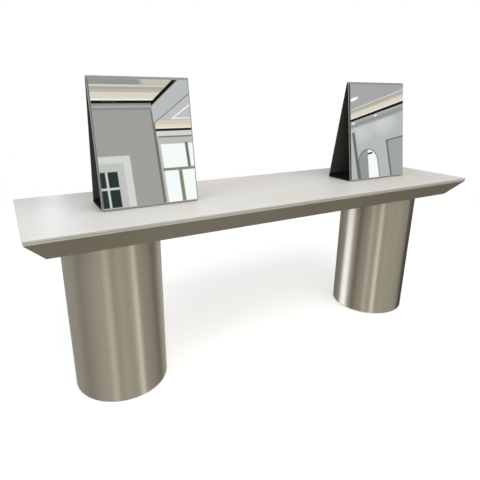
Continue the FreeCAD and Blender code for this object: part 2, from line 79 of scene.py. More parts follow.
# How finely the round parts are cut, and what counts as flat, as one point, as the same
# direction and as facing out.
SLAB_CORNER_STEPS, SLAB_ROUND_STEPS = 6, 9
STRIP_STEPS = 4
DRUM_STEPS, DRUM_BEND_STEPS = 240, 5
STAND_BEND_STEPS = 16
GLASS_ARRIS_STEPS = 2
SMOOTH_ANGLE = math.radians(35)
FLAT_ANGLE = math.radians(1)
SAME_POINT = 1e-6
ALONGSIDE = 0.999
FACING_OUT = 0.3


# ---- shader expressions --------------------------------------------------------------


class Wire:
    """A node's output that can stand in an expression, and the one maker of nodes."""

    def __init__(self, tree, output=None):
        self.tree = tree
        self.output = output

    def add(self, kind, inputs=(), settings=(), output=0):
        """Add a node: its settings first, then the values or links of its inputs."""
        node = self.tree.nodes.new(kind)
        for name, value in dict(settings).items():
            setattr(node, name, value)
        for key, value in dict(inputs).items():
            if isinstance(value, Wire):
                self.tree.links.new(value.output, node.inputs[key])
            else:
                node.inputs[key].default_value = value
        return Wire(self.tree, node.outputs[output] if node.outputs else None)

    def math(self, operation, *values):
        """One step of arithmetic on numbers and other outputs."""
        inputs = dict(enumerate(values))
        return self.add("ShaderNodeMath", inputs, {"operation": operation})

    def __add__(self, other):
        return self.math("ADD", self, other)

    def __radd__(self, other):
        return self.math("ADD", other, self)

    def __sub__(self, other):
        return self.math("SUBTRACT", self, other)

    def __rsub__(self, other):
        return self.math("SUBTRACT", other, self)

    def __mul__(self, other):
        return self.math("MULTIPLY", self, other)

    def __rmul__(self, other):
        return self.math("MULTIPLY", other, self)

    def __truediv__(self, other):
        return self.math("DIVIDE", self, other)

    def __abs__(self):
        return self.math("ABSOLUTE", self)

    def max(self, other):
        return self.math("MAXIMUM", self, other)

    def min(self, other):
        return self.math("MINIMUM", self, other)

    def rises(self, low, high):
        """0 below low, 1 above high and smooth between them."""
        inputs = {"Value": self, "From Min": low, "From Max": high}
        return self.add("ShaderNodeMapRange", inputs, {"interpolation_type": "SMOOTHSTEP"})

    def scaled(self, factors):
        """A vector with each of its parts multiplied."""
        inputs = {0: self, 1: factors}
        return self.add("ShaderNodeVectorMath", inputs, {"operation": "MULTIPLY"})

    def part(self, axis):
        """One of a vector's three parts."""
        return self.add("ShaderNodeSeparateXYZ", {0: self}, output="XYZ".index(axis))

    def in_all_parts(self):
        """A vector, or a grey, with this value in each of its parts."""
        return self.add("ShaderNodeCombineXYZ", {0: self, 1: self, 2: self})

    def noise(self, scale, detail=3.0, roughness=0.5, distortion=0.0):
        """Noise from 0 to 1 at this point, as coarse as 1 / scale."""
        inputs = {
            "Vector": self,
            "Scale": scale,
            "Detail": detail,
            "Roughness": roughness,
            "Distortion": distortion,
        }
        return self.add("ShaderNodeTexNoise", inputs)

    def blend(self, first, second):
        """Mix two colours, this being how much of the second is in it."""
        inputs = {"Factor": self, "A": as_colour(first), "B": as_colour(second)}
        return self.add("ShaderNodeMix", inputs, {"data_type": "RGBA"}, output=2)

    def mixed(self, first, second):
        """Mix two shaders, this being how much of the second shows."""
        return self.add("ShaderNodeMixShader", {0: self, 1: first, 2: second})


def as_colour(value):
    """What a colour input takes: another node's output, or a colour with its fourth part."""
    return value if isinstance(value, Wire) else (*value, 1)


def place_on(tree):
    """The point on the piece, in metres, as it stands in the frame."""
    return Wire(tree).add("ShaderNodeTexCoord", output="Object")


def facing(tree):
    """Which way the surface faces, not counting its bump."""
    return Wire(tree).add("ShaderNodeNewGeometry", output="Normal")


def colour_of(red, green, blue):
    """A colour given as it is seen on a screen, from 0 to 255."""

    def straight(value):
        value /= 255
        return value / 12.92 if value <= 0.04045 else ((value + 0.055) / 1.055) ** 2.4

    return tuple(straight(value) for value in (red, green, blue))


class Finish:
    """A material with one surface shader. Varying values are linked, the rest are set."""

    def __init__(self, name):
        self.material = bpy.data.materials.new(name)
        self.material.use_nodes = True
        self.tree = self.material.node_tree
        self.shader = self.tree.nodes["Principled BSDF"]

    def surface(self, **values):
        """Give the surface its values by name and hand over the finished material."""
        for name, value in values.items():
            socket = self.shader.inputs[name.replace("_", " ").title()]
            if isinstance(value, Wire):
                self.tree.links.new(value.output, socket)
            else:
                socket.default_value = value
        return self.material

    def bump(self, height, depth, strength):
        """A fine relief: height runs from 0 to 1 and depth is its size in metres."""
        inputs = {"Height": height, "Distance": depth, "Strength": strength}
        relief = Wire(self.tree).add("ShaderNodeBump", inputs)
        self.tree.links.new(relief.output, self.shader.inputs["Normal"])


# ---- finishes ------------------------------------------------------------------------


def stone_finish():
    """Pale satin solid surface: faint clouding and fine speckle."""
    finish = Finish("satin_stone")
    point = place_on(finish.tree)
    cloud = point.noise(3.2, 4.0, 0.55)
    speckle = point.noise(900.0, 2.0, 0.6)
    grain = point.noise(240.0, 3.0, 0.6)
    pale = cloud.rises(0.3, 0.7).blend(colour_of(222, 220, 216), colour_of(228, 227, 225))
    colour = (speckle.rises(0.56, 0.74) * 0.35).blend(pale, colour_of(196, 193, 188))
    finish.bump(grain, 0.00006, 0.35)
    return finish.surface(
        base_color=colour,
        roughness=0.36 + 0.08 * point.noise(11.0, 3.0),
    )


def steel_finish():
    """Brushed stainless: fine lines round the drum that draw lights out into upright bands."""
    finish = Finish("brushed_stainless")
    point = place_on(finish.tree)
    lines = point.scaled((2.0, 2.0, 1400.0)).noise(1.0, 3.0, 0.6)
    wide_lines = point.scaled((1.2, 1.2, 170.0)).noise(1.0, 4.0, 0.6)
    bands = point.scaled((7.0, 7.0, 0.45)).noise(1.0, 2.0, 0.5)
    shade = (0.6 * lines + 0.4 * wide_lines).rises(0.25, 0.75)
    tone = (shade * 0.6).blend(colour_of(191, 188, 172), colour_of(203, 199, 183))
    finish.bump(0.2 * lines + 60.0 * bands, 0.00005, 0.35)
    return finish.surface(
        base_color=tone,
        metallic=1.0,
        roughness=0.37 + 0.03 * wide_lines,
        anisotropic=0.95,
        anisotropic_rotation=0.25,
    )


def stand_finish():
    """Silver on the outside of a folded leaf and on its edges, black on the inside."""
    finish = Finish("satin_silver")
    point = place_on(finish.tree)
    normal = facing(finish.tree)
    side = point.math("SIGN", point.part("Y"))
    outward = side * normal.part("Y") * math.cos(STAND_LEAN)
    outward = outward + normal.part("Z") * math.sin(STAND_LEAN)
    silver = outward.rises(-0.6, -0.4)
    lines = point.scaled((4.0, 700.0, 700.0)).noise(1.0, 3.0, 0.6)
    grit = point.noise(1500.0, 2.0)
    bright = lines.rises(0.3, 0.7).blend(colour_of(178, 177, 175), colour_of(194, 193, 191))
    finish.bump(grit, 0.00004, 0.3)
    return finish.surface(
        base_color=silver.blend(colour_of(78, 75, 71), bright),
        metallic=silver * 0.75,
        roughness=0.44 - 0.12 * silver + 0.08 * lines,
    )


def black_finish():
    """Fine-textured black powder coat."""
    finish = Finish("black_paint")
    point = place_on(finish.tree)
    grit = point.noise(1300.0, 2.0, 0.6)
    haze = point.noise(14.0, 3.0)
    finish.bump(grit, 0.00005, 0.4)
    return finish.surface(
        base_color=haze.blend(colour_of(28, 28, 30), colour_of(38, 38, 40)),
        roughness=0.42 + 0.14 * grit,
    )


def glass_finish():
    """A silvered pane: a mirror on its face and dark polished glass along its edges."""
    finish = Finish("mirror_glass")
    point = place_on(finish.tree)
    across = abs(facing(finish.tree).part("Y"))
    face = across.rises(0.90, 0.96)
    arris = across.rises(0.35, 0.55)
    smears = point.noise(5.0, 4.0, 0.6)
    edge = arris.blend(colour_of(44, 52, 50), colour_of(214, 220, 218))
    return finish.surface(
        base_color=face.blend(edge, colour_of(236, 238, 238)),
        metallic=face.max(arris * 0.6),
        roughness=0.16 - 0.15 * face + 0.012 * smears.rises(0.45, 0.8),
    )


def board_finish():
    """Birch plywood: a pale face with long, faint figure."""
    finish = Finish("birch_plywood")
    point = place_on(finish.tree)
    figure = point.scaled((1.1, 15.0, 15.0)).noise(1.0, 4.0, 0.55, 0.8)
    pores = point.scaled((22.0, 620.0, 620.0)).noise(1.0, 2.0)
    rings = figure.math("SINE", figure * 34.0) * 0.5 + 0.5
    pale = (rings * 0.7).blend(colour_of(214, 190, 150), colour_of(198, 170, 128))
    finish.bump(pores, 0.0001, 0.4)
    return finish.surface(
        base_color=(pores.rises(0.56, 0.78) * 0.35).blend(pale, colour_of(158, 128, 90)),
        roughness=0.60 + 0.12 * pores,
    )


def timber_finish():
    """Planed softwood with its grain along the piece."""
    finish = Finish("timber")
    point = place_on(finish.tree)
    grain = point.scaled((26.0, 26.0, 2.2)).noise(1.0, 5.0, 0.6, 0.6)
    pores = point.scaled((500.0, 500.0, 18.0)).noise(1.0, 2.0)
    rings = grain.math("SINE", grain * 42.0) * 0.5 + 0.5
    pale = rings.blend(colour_of(196, 164, 120), colour_of(216, 188, 146))
    finish.bump(pores, 0.0002, 0.5)
    return finish.surface(
        base_color=(pores.rises(0.55, 0.75) * 0.4).blend(pale, colour_of(160, 126, 86)),
        roughness=0.62 + 0.12 * pores,
    )


def zinc_finish():
    """Bright zinc plate on the screws, washers, nuts and feet."""
    finish = Finish("zinc_steel")
    point = place_on(finish.tree)
    spangle = point.noise(160.0, 3.0, 0.6)
    finish.bump(spangle, 0.0001, 0.3)
    return finish.surface(
        base_color=spangle.blend(colour_of(168, 170, 172), colour_of(200, 202, 202)),
        metallic=1.0,
        roughness=0.30 + 0.18 * spangle,
    )


def rubber_finish():
    """Dull black rubber under the trays."""
    finish = Finish("rubber")
    point = place_on(finish.tree)
    grit = point.noise(800.0, 3.0)
    finish.bump(grit, 0.0001, 0.5)
    return finish.surface(
        base_color=grit.blend(colour_of(26, 26, 27), colour_of(36, 36, 36)),
        roughness=0.78 + 0.12 * grit,
    )


def tape_finish():
    """Dark foam tape behind the panes."""
    finish = Finish("foam_tape")
    point = place_on(finish.tree)
    cells = point.noise(1100.0, 3.0, 0.7)
    finish.bump(cells, 0.0002, 0.6)
    return finish.surface(
        base_color=cells.blend(colour_of(52, 52, 54), colour_of(78, 78, 80)),
        roughness=0.85 + 0.1 * cells,
    )


FINISHES = {
    "stone": stone_finish(),
    "brushed_stainless": steel_finish(),
    "satin_silver": stand_finish(),
    "black_paint": black_finish(),
    "mirror_glass": glass_finish(),
    "board": board_finish(),
    "timber": timber_finish(),
    "zinc_steel": zinc_finish(),
    "rubber": rubber_finish(),
    "foam_tape": tape_finish(),
}


def finish_nodes():
    """Give every CAD node the finish of its material slot."""
    for part in frame["record"]["subparts"]:
        mesh = nodes[part["node"]].data
        mesh.materials.clear()
        mesh.materials.append(FINISHES[part["material_slot"]])


# ---- making pieces -------------------------------------------------------------------


def weld(shape):
    """Merge doubled points, then turn every face outwards."""
    bmesh.ops.remove_doubles(shape, verts=shape.verts, dist=SAME_POINT)
    bmesh.ops.recalc_face_normals(shape, faces=shape.faces)


def finish_piece(name, shape, slot, body, node, smooth=False):
    """Make an object of a shape, hang it on its body and let it stand for its CAD node."""
    mesh = bpy.data.meshes.new(name)
    for face in shape.faces:
        face.smooth = smooth
    shape.to_mesh(mesh)
    shape.free()
    if smooth:
        mesh.set_sharp_from_angle(angle=SMOOTH_ANGLE)
    mesh.materials.append(FINISHES[slot])
    piece = bpy.data.objects.new(name, mesh)
    bpy.context.scene.collection.objects.link(piece)
    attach(piece, body)
    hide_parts(node)


def soften(shape, edges, width, segments):
    """Round edges off, or chamfer them where there is one segment."""
    bmesh.ops.bevel(
        shape,
        geom=edges,
        offset=width,
        offset_type="OFFSET",
        affect="EDGES",
        segments=segments,
        profile=0.5,
        material=-1,
        clamp_overlap=True,
    )


def edges_at(shape, level):
    """The edges that lie level at a height."""
    return [e for e in shape.edges if all(abs(v.co.z - level) < SAME_POINT for v in e.verts)]


def block(low, high):
    """A box between two corners."""
    shape = bmesh.new()
    bmesh.ops.create_cube(shape, size=1)
    bmesh.ops.scale(shape, vec=high - low, verts=shape.verts)
    bmesh.ops.translate(shape, vec=(high + low) / 2, verts=shape.verts)
    return shape


def make_slab():
    """The top: rounded corners and upper arris, and the V joint's half below."""
    shape = block(SLAB_LOW, SLAB_HIGH)
    uprights = [e for e in shape.edges if abs(e.verts[0].co.z - e.verts[1].co.z) > MM]
    soften(shape, uprights, SLAB_CORNER, SLAB_CORNER_STEPS)
    soften(shape, edges_at(shape, SLAB_HIGH.z), SLAB_ROUND, SLAB_ROUND_STEPS)
    soften(shape, edges_at(shape, SLAB_LOW.z), JOINT_CHAMFER, 1)
    weld(shape)
    finish_piece("slab", shape, "stone", "station", "worktop_slab")


def make_strip(side, outward):
    """An edge strip with its long outer edges eased."""
    node = f"{side}_edge_strip"
    shape = bmesh.new()
    shape.from_mesh(nodes[node].data)
    weld(shape)
    bmesh.ops.dissolve_limit(
        shape, angle_limit=FLAT_ANGLE, verts=shape.verts, edges=shape.edges
    )
    outward = Vector(outward)
    along = outward.cross(Vector((0, 0, 1)))
    below_joint = SLAB_LOW.z - 2 * JOINT_CHAMFER
    long_outer = [
        edge
        for edge in shape.edges
        if all(vert.co.z < below_joint for vert in edge.verts)
        and abs((edge.verts[0].co - edge.verts[1].co).normalized().dot(along)) > ALONGSIDE
        and any(face.normal.dot(outward) > FACING_OUT for face in edge.link_faces)
    ]
    soften(shape, long_outer, STRIP_ROUND, STRIP_STEPS)
    weld(shape)
    finish_piece(f"{side}_strip", shape, "stone", "station", node)


def make_drum(leg):
    """Rolled sheet with a rounded return at its top and foot."""
    node = f"{leg}_drum_shell"
    low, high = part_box(node)
    axis = (low + high) / 2
    outer = (high.x - low.x) / 2
    inner = outer - DRUM_SHEET
    lip = outer - DRUM_LIP
    outer_corners = ((outer, low.z), (outer, high.z))
    section = [
        (lip, low.z),
        outer_corners[0],
        (outer, low.z + 2 * DRUM_BEND),
        (outer, high.z - 2 * DRUM_BEND),
        outer_corners[1],
        (lip, high.z),
        (lip, high.z - DRUM_SHEET),
        (inner, high.z - DRUM_SHEET),
        (inner, low.z + DRUM_SHEET),
        (lip, low.z + DRUM_SHEET),
    ]
    shape = bmesh.new()
    ring = [shape.verts.new((axis.x + reach, axis.y, level)) for reach, level in section]
    for i in range(len(ring)):
        shape.edges.new((ring[i - 1], ring[i]))
    bends = [vert for vert, corner in zip(ring, section) if corner in outer_corners]
    bmesh.ops.bevel(
        shape,
        geom=bends,
        offset=DRUM_BEND,
        affect="VERTICES",
        segments=DRUM_BEND_STEPS,
        profile=0.5,
        material=-1,
    )
    bmesh.ops.spin(
        shape,
        geom=shape.verts[:] + shape.edges[:],
        cent=(axis.x, axis.y, 0),
        axis=(0, 0, 1),
        angle=math.tau,
        steps=DRUM_STEPS,
        use_merge=True,
    )
    weld(shape)
    finish_piece(f"{leg}_drum", shape, "brushed_stainless", "station", node, smooth=True)


def make_stand(unit):
    """One sheet folded over at the top into two leaning leaves."""
    node = f"{unit}_stand"
    low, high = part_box(node)
    middle = (low + high) / 2
    foot = (high.y - low.y) / 2
    centre = Vector((low.x, middle.y, high.z - STAND_BEND))
    out = Vector((0, -math.cos(STAND_LEAN), math.sin(STAND_LEAN)))
    start = centre + out * STAND_BEND
    end = Vector((low.x, middle.y - foot, low.z))
    steady = start + (end - start) * STAND_EASE
    shape = bmesh.new()
    front_foot = shape.verts.new(end)
    front_leaf = shape.verts.new(steady)
    front_top = shape.verts.new(start)
    turned = bmesh.ops.spin(
        shape,
        geom=[front_top],
        cent=centre,
        axis=(1, 0, 0),
        angle=-(math.pi - 2 * STAND_LEAN),
        steps=STAND_BEND_STEPS,
        use_duplicate=False,
    )["geom_last"]
    rear_top = next(item for item in turned if isinstance(item, bmesh.types.BMVert))
    rear_leaf = shape.verts.new((steady.x, 2 * middle.y - steady.y, steady.z))
    rear_foot = shape.verts.new((low.x, middle.y + foot, low.z))
    for run in ((front_foot, front_leaf, front_top), (rear_top, rear_leaf, rear_foot)):
        shape.edges.new(run[:2])
        shape.edges.new(run[1:])
    made = bmesh.ops.extrude_edge_only(shape, edges=shape.edges[:])["geom"]
    moved = [item for item in made if isinstance(item, bmesh.types.BMVert)]
    bmesh.ops.translate(shape, vec=(high.x - low.x, 0, 0), verts=moved)
    weld(shape)
    topmost = max(shape.faces, key=lambda face: face.calc_center_median().z)
    if topmost.normal.z < 0:
        bmesh.ops.reverse_faces(shape, faces=shape.faces)
    bmesh.ops.solidify(shape, geom=shape.faces[:], thickness=STAND_SHEET)
    finish_piece(f"{unit}_leaf", shape, "satin_silver", unit, node, smooth=True)


def make_pane(unit, face):
    """A mirror pane with a narrow ground arris, on its leaf's face."""
    node = f"{unit}_{face}_glass"
    stand_low, stand_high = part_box(f"{unit}_stand")
    low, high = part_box(node)
    side = -1 if face == "front" else 1
    foot = (stand_high.y - stand_low.y) / 2
    up = Vector((0, -side * math.sin(STAND_LEAN), math.cos(STAND_LEAN)))
    out = Vector((0, side * math.cos(STAND_LEAN), math.sin(STAND_LEAN)))
    start = Vector(((low.x + high.x) / 2, side * foot, stand_low.z))
    face_reach = TAPE_THICKNESS + GLASS_THICKNESS
    head = (high.z - (start + out * face_reach).z) / up.z
    half = Vector((high.x - low.x, GLASS_THICKNESS, head - GLASS_FOOT)) / 2
    shape = block(-half, half)
    outer_side = [e for e in shape.edges if all(v.co.y * side > 0 for v in e.verts)]
    soften(shape, outer_side, GLASS_ARRIS, GLASS_ARRIS_STEPS)
    weld(shape)
    middle = start + out * (face_reach - GLASS_THICKNESS / 2) + up * (head + GLASS_FOOT) / 2
    turn = Euler((side * STAND_LEAN, 0, 0)).to_matrix()
    bmesh.ops.rotate(shape, cent=(0, 0, 0), matrix=turn, verts=shape.verts)
    bmesh.ops.translate(shape, vec=middle, verts=shape.verts)
    finish_piece(f"{unit}_{face}_pane", shape, "mirror_glass", unit, node)


# ---- floor ---------------------------------------------------------------------------

FLOOR_SIZE = 60.0
FLOOR_NEAR, FLOOR_FAR = 1.6, 5.0
FLOOR_TONE = (0.93, 0.93, 0.93)
FLOOR_FILL = (0.106, 0.083, 0.032)
FLOOR_GLOW = 0.42
WHITE = (1.0, 1.0, 1.0)


def bare_root(owner):
    """The start of a material's or a world's own shader, with nothing in it yet."""
    owner.use_nodes = True
    owner.node_tree.nodes.clear()
    return Wire(owner.node_tree)


def studio_object(name, shape):
    """An object of the studio, which is no part of the station, and its shader's start."""
    mesh = bpy.data.meshes.new(name)
    shape.to_mesh(mesh)
    shape.free()
    material = bpy.data.materials.new(name)
    mesh.materials.append(material)
    thing = bpy.data.objects.new(name, mesh)
    bpy.context.scene.collection.objects.link(thing)
    return thing, bare_root(material)


def glowing(root, colour, strength=1.0):
    """A shader that gives out plain light."""
    return root.add("ShaderNodeEmission", {"Color": as_colour(colour), "Strength": strength})


def lit_for_view(root):
    """1 for what the camera sees, straight or in metal or glass, and 0 for fill light."""
    camera = root.add("ShaderNodeLightPath", output="Is Camera Ray")
    glossy = root.add("ShaderNodeLightPath", output="Is Glossy Ray")
    clear = root.add("ShaderNodeLightPath", output="Is Transmission Ray")
    return camera.max(glossy).max(clear), glossy


def make_floor():
    """A plain pale floor that keeps the shadow near the station and fades to white."""
    shape = bmesh.new()
    bmesh.ops.create_grid(shape, x_segments=1, y_segments=1, size=FLOOR_SIZE / 2)
    floor, root = studio_object("studio_floor", shape)
    seen, _ = lit_for_view(root)
    point = place_on(root.tree).scaled((1.0, 1.0, 0.0))
    reach = point.add("ShaderNodeVectorMath", {0: point}, {"operation": "LENGTH"}, output=1)
    lit = root.add("ShaderNodeBsdfDiffuse", {"Color": as_colour(FLOOR_TONE)})
    near = root.add("ShaderNodeAddShader", {0: lit, 1: glowing(root, WHITE, FLOOR_GLOW)})
    pale = reach.rises(FLOOR_NEAR, FLOOR_FAR).mixed(near, glowing(root, WHITE))
    fill = root.add("ShaderNodeBsdfDiffuse", {"Color": as_colour(FLOOR_FILL)})
    from_below = root.add("ShaderNodeNewGeometry", output="Backfacing")
    clear = root.add("ShaderNodeBsdfTransparent")
    whole = from_below.mixed(seen.mixed(fill, pale), clear)
    root.add("ShaderNodeOutputMaterial", {"Surface": whole})
    floor.visible_glossy = False


# ---- the room that metal and glass show ----------------------------------------------
#
# A wall's numbers are for a wall one metre away: how far across, and how far up. The front
# and the rear wall are alike, and so are the two side walls. A level is a height as a share
# of the height of the cove under the ceiling. A bearing is in degrees from the front, to
# the right.

FRONT_HEIGHT, SIDE_HEIGHT = 0.306, 0.240
SIDE_START = 0.77
FRONT_SHIFT = 0.009
COVE_BLUR = 0.003
PATCH_BLUR = 0.0012

WALL = colour_of(173, 172, 166)
SIDE_WALL = colour_of(198, 200, 198)
CEILING_FAR = colour_of(206, 206, 208)
CEILING_CORNER = colour_of(214, 208, 192)
CEILING_SIDE = colour_of(181, 179, 181)
BULKHEAD = colour_of(200, 203, 202)
COVE_LIGHT = (1.12, 1.08, 1.0)
LAMP_LIGHT = (1.35, 1.35, 1.32)
DAYLIGHT = (1.08, 1.14, 1.13)
SHADOW_LINE = colour_of(26, 23, 22)
CASING = colour_of(228, 229, 226)
JAMB = colour_of(118, 119, 114)
SASH = colour_of(150, 142, 122)
DARK_PANE = colour_of(48, 60, 58)
ARCH_SHADE = colour_of(160, 166, 162)

# The bands from the wall up to the ceiling: the level where each starts, and its colour.
COVE = (
    (0.932, colour_of(154, 152, 150)),
    (0.9545, colour_of(190, 188, 187)),
    (0.9666, colour_of(160, 158, 157)),
    (0.9864, SHADOW_LINE),
    (1.0109, COVE_LIGHT),
    (1.0229, colour_of(236, 227, 213)),
    (1.0760, colour_of(203, 195, 181)),
    (1.1000, colour_of(186, 181, 170)),
    (1.1217, colour_of(229, 228, 219)),
    (1.1366, colour_of(160, 161, 157)),
)
# The side wall's own bands, which lie over those up to the last level.
SIDE_COVE = (
    (0.884, colour_of(180, 182, 179)),
    (0.903, colour_of(160, 160, 157)),
    (0.932, colour_of(173, 172, 169)),
    (0.955, colour_of(190, 189, 186)),
    (0.977, SHADOW_LINE),
    (1.009, COVE_LIGHT),
)
SIDE_COVE_END = 1.016
SIDE_CEILING_START = (1.133, 1.140)

# Patches against a wall: from and to across, from and to up, and the colour. A later patch
# lies over an earlier one.
NEAR_WALL = (
    (0.3490, 0.3530, -1.0, 0.285, JAMB),
    (0.170, 0.280, -1.0, 0.175, CASING),
    (0.170, 0.262, -1.0, 0.158, colour_of(208, 210, 204)),
    (0.170, 0.2445, 0.052, 0.138, DARK_PANE),
    (0.215, 0.220, 0.052, 0.138, CASING),
    (0.170, 0.2445, 0.095, 0.100, CASING),
)
FAR_ROOM = (
    (0.405, 0.80, 0.2620, 0.2645, COVE_LIGHT),
    (0.35, 0.80, 0.2375, 0.258, colour_of(229, 218, 206)),
    (0.35, 0.80, 0.2375, 0.248, colour_of(247, 231, 203)),
    (0.35, 0.80, 0.2375, 0.2400, COVE_LIGHT),
    (0.35, 0.80, 0.2310, 0.2375, SHADOW_LINE),
    (0.35, 0.80, 0.2170, 0.2310, colour_of(228, 229, 227)),
    (0.35, 0.80, -1.0, 0.217, colour_of(204, 203, 196)),
    (0.360, 0.80, 0.2150, 0.2185, JAMB),
    (0.363, 0.429, 0.137, 0.198, DAYLIGHT),
    (0.429, 0.437, 0.137, 0.201, JAMB),
    (0.437, 0.520, 0.137, 0.198, DAYLIGHT),
    (0.360, 0.520, 0.130, 0.137, SASH),
    (0.363, 0.401, -1.0, 0.130, DAYLIGHT),
    (0.401, 0.411, -1.0, 0.130, SASH),
    (0.411, 0.520, -1.0, 0.130, DAYLIGHT),
    (0.560, 0.720, -1.0, 0.198, DAYLIGHT),
    (0.34, 0.356, -1.0, 0.250, JAMB),
)
SIDE_ROOM = (
    (0.980, 0.992, -1.0, 0.200, JAMB),
    (0.700, 0.863, -1.0, 0.149, JAMB),
    (0.700, 0.857, -1.0, 0.145, colour_of(172, 178, 175)),
)
ARCH_BAR = ((0.918, 0.950, 0.1195, 0.1250, colour_of(24, 27, 26)),)

# Soft round lights: the middle across and up, how far each reaches both ways, the colour.
SIDE_GLOWS = (
    (0.952, 0.195, 0.062, 0.046, colour_of(217, 221, 219)),
    (0.866, 0.202, 0.060, 0.048, colour_of(220, 223, 220)),
)
SIDE_LIGHTS = (
    (0.889, 0.2285, 0.008, 0.004, COVE_LIGHT),
    (0.981, 0.2275, 0.010, 0.005, COVE_LIGHT),
    (0.965, 0.3010, 0.025, 0.0068, LAMP_LIGHT),
)

# The front wall ends at a corner, behind which the far room shows under a bulkhead. The
# bulkhead's edges slope: they are given as height over distance across.
CORNER = (0.352, 0.354)
CORNER_GLOW_ACROSS, CORNER_GLOW_LEVEL = (0.325, 0.345), (1.10, 1.16)
BULKHEAD_EDGES = (
    (0.705, 0.708, JAMB),
    (0.711, 0.714, BULKHEAD),
    (0.830, 0.840, SHADOW_LINE),
)
BULKHEAD_TOP = (0.860, 0.868)
CEILING_FRAME, CEILING_FRAME_BLUR = (0.646, 0.655), 0.001
CEILING_FRAME_START = (0.400, 0.404)

# The arch in the side wall, with its rim and the line between its shaded and its lit part.
ARCH_MIDDLE, ARCH_HALF, ARCH_SPRING = 0.941, 0.037, 0.098
ARCH_OPENING, ARCH_RIM = (0.94, 1.06), (1.10, 1.24)
ARCH_SPLIT, ARCH_SPLIT_LEAN, ARCH_SPLIT_BLUR = 0.9495, 0.1, 0.001

# Barred windows round the studio: their bearings, their size and how bright they are.
WINDOW_BEARINGS = (-28, 118, 158)
WINDOW_EDGE = (7.36, 8.16)
WINDOW_LEVELS, WINDOW_BLUR = (0.12, 0.80), 0.01
WINDOW_LIGHT = 0.5
WINDOW_TINT = (0.95, 0.98, 1.0)
UPRIGHT_BAR = (0.25, 0.40)
LEVEL_BAR, LEVEL_BAR_BLUR = (0.46, 0.49), 0.005
BAR_SHADE = 0.75

# The ground's tone ahead, beside and behind with the bearings between them, and the lights
# and shades on it: the bearing of each, how far it spreads, and how much it adds.
GROUND = (0.545, 0.522, 0.465)
GROUND_BESIDE, GROUND_BESIDE_START = (0.552, 0.505, 0.492), (45, 75)
GROUND_BEHIND, GROUND_BEHIND_START = (0.36, 0.349, 0.364), (118, 155)
GROUND_LIGHTS = (
    (-50, 25.6, 0.32),
    (1, 25.6, 0.42),
    (128, 14.4, 0.60),
    (-149, 12.8, 0.60),
    (167, 25.6, -0.50),
    (-97, 20.8, -0.42),
    (84, 32.0, -0.18),
)
HORIZON = (-0.02, 0.0)

# What reaches the station from below and from above as soft light.
FILL_BELOW, FILL_ABOVE = (0.222, 0.20, 0.14), (0.64, 0.64, 0.64)
FILL_CHANGE = (-0.1, 0.9)


def between(value, low, high, edge):
    """1 between two values, with soft edges."""
    return value.rises(low - edge, low + edge) * (1 - value.rises(high - edge, high + edge))


def shine(wall, across, up, lights):
    """Lay soft round lights over a wall."""
    for middle, height, reach, rise, colour in lights:
        out, over = (across - middle) / reach, (up - height) / rise
        wall = (1 - (out * out + over * over).rises(-0.2, 1.0)).blend(wall, colour)
    return wall


def hang(wall, across, up, patches):
    """Lay patches of colour over a wall."""
    for left, right, low, high, colour in patches:
        patch = between(across, left, right, PATCH_BLUR) * between(up, low, high, PATCH_BLUR)
        wall = patch.blend(wall, colour)
    return wall


def front_wall(room, ahead, up, level):
    """The wall ahead with its glazed door and, past its corner, the far room."""
    glow = ahead.rises(*CORNER_GLOW_ACROSS) * level.rises(*CORNER_GLOW_LEVEL)
    front = hang(glow.blend(room, CEILING_CORNER), ahead, up, NEAR_WALL)
    far = hang(CEILING_FAR, ahead, up, FAR_ROOM)
    slope = up / ahead
    frame_line = between(slope, *CEILING_FRAME, CEILING_FRAME_BLUR)
    far = (frame_line * ahead.rises(*CEILING_FRAME_START)).blend(far, COVE_LIGHT)
    for start, end, colour in BULKHEAD_EDGES:
        far = slope.rises(start, end).blend(far, colour)
    past_corner = ahead.rises(*CORNER) * (1 - slope.rises(*BULKHEAD_TOP))
    return past_corner.blend(front, far)


def side_wall(room, beside, up, level):
    """The wall beside with its own cove, its lights, a door and an arched opening."""
    side = level.rises(*SIDE_CEILING_START).blend(room, CEILING_SIDE)
    side = shine(side, beside, up, SIDE_GLOWS)
    for start, colour in SIDE_COVE:
        side = between(level, start, SIDE_COVE_END, COVE_BLUR).blend(side, colour)
    side = shine(side, beside, up, SIDE_LIGHTS)
    side = hang(side, beside, up, SIDE_ROOM)
    off = (beside - ARCH_MIDDLE) / ARCH_HALF
    over = (up - ARCH_SPRING).max(0.0) / ARCH_HALF
    reach = off * off + over * over
    side = (1 - reach.rises(*ARCH_RIM)).blend(side, JAMB)
    split = beside + ARCH_SPLIT_LEAN * up - ARCH_SPLIT
    view = hang(DAYLIGHT, beside, up, ARCH_BAR)
    view = split.rises(-ARCH_SPLIT_BLUR, ARCH_SPLIT_BLUR).blend(view, ARCH_SHADE)
    return (1 - reach.rises(*ARCH_OPENING)).blend(side, view)


def window_light(bearing, level):
    """Daylight from the barred windows, as a colour to add."""
    light = bars = 0.0
    for middle in WINDOW_BEARINGS:
        off = abs(bearing - middle)
        light = light + (1 - off.rises(*WINDOW_EDGE)) * WINDOW_LIGHT
        bars = bars + (1 - off.rises(*UPRIGHT_BAR))
    bars = bars.max(between(level, *LEVEL_BAR, LEVEL_BAR_BLUR))
    open_part = between(level, *WINDOW_LEVELS, WINDOW_BLUR) * (1 - BAR_SHADE * bars.min(1.0))
    return (light * open_part).in_all_parts().scaled(WINDOW_TINT)


def ground_light(bearing):
    """The ground's light all round."""
    spill = 1.0
    for middle, spread, strength in GROUND_LIGHTS:
        spill = spill + (1 - abs(bearing - middle).rises(0.0, spread)) * strength
    tone = abs(bearing).rises(*GROUND_BESIDE_START).blend(GROUND, GROUND_BESIDE)
    tone = abs(bearing).rises(*GROUND_BEHIND_START).blend(tone, GROUND_BEHIND)
    return tone.scaled(spill.in_all_parts())


